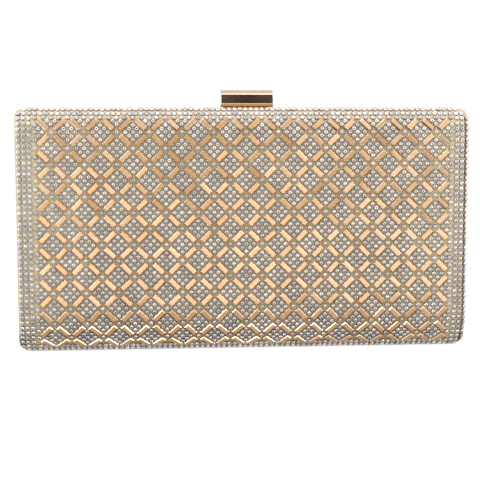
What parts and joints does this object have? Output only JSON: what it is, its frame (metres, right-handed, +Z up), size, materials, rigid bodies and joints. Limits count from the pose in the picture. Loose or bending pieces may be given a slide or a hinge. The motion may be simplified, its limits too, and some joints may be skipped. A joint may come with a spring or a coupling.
{
  "type": "evening bag",
  "caption": "Hard box evening clutch with stone-set faces, gold frame, lift-lever clasp and bottom hinge that lets the front half swing open.",
  "frame": {"origin": "middle of the base, on the surface that the bag stands on", "axes": "+X along the width, the front faces -Y, +Z up"},
  "size_m": [0.2144, 0.049, 0.1239],
  "materials": {
    "moulded_shell": "moulded, hidden under its covering",
    "band_fabric": "fine metallic weave, pale gold",
    "stone_sheet": "clear faceted stones with silver backs and gold studs",
    "frame_metal": "polished, pale gold plated",
    "satin_lining": "satin",
    "satin_pocket": "satin, hemmed",
    "gusset_fabric": "satin, pleated",
    "hinge_metal": "gold plated, satin",
    "pin_steel": "drawn wire",
    "rivet_metal": "gold plated",
    "clasp_inner_metal": "gold plated, satin",
    "clasp_gold": "mirror polished, light gold plated",
    "spring_steel": "bright wire"
  },
  "bodies": {
    "back_half": {"back_shell": "moulded_shell", "back_band": "band_fabric", "back_cover": "stone_sheet", "back_frame": "frame_metal", "back_lining": "satin_lining", "slip_pocket": "satin_pocket", "left_gusset": "gusset_fabric", "right_gusset": "gusset_fabric", "back_hinge_leaf": "hinge_metal", "hinge_pin": "pin_steel", "back_hinge_rivets": "rivet_metal", "clasp_base": "clasp_inner_metal", "clasp_pin": "pin_steel", "clasp_spring": "spring_steel", "base_rivets": "rivet_metal", "chain_lugs": "hinge_metal"},
    "front_half": {"front_shell": "moulded_shell", "front_band": "band_fabric", "front_cover": "stone_sheet", "front_frame": "frame_metal", "front_lining": "satin_lining", "front_hinge_leaf": "hinge_metal", "front_hinge_rivets": "rivet_metal", "clasp_striker": "clasp_inner_metal", "striker_rivets": "rivet_metal"},
    "lever": {"clasp_lever": "clasp_gold"}
  },
  "joints": [
    {"name": "bottom_hinge", "type": "hinge", "parent": "back_half", "child": "front_half", "pos_m": [0, 0, 0.0018], "axis": [1, 0, 0], "range_deg": [0, 65], "deforming": ["left_gusset", "right_gusset"]},
    {"name": "clasp_lift", "type": "hinge", "parent": "back_half", "child": "lever", "pos_m": [0.0025, 0.0026, 0.119], "axis": [-1, 0, 0], "range_deg": [-6, 20], "stiffness_Nm_per_rad": 0.02, "springref_deg": -17.19}
  ]
}
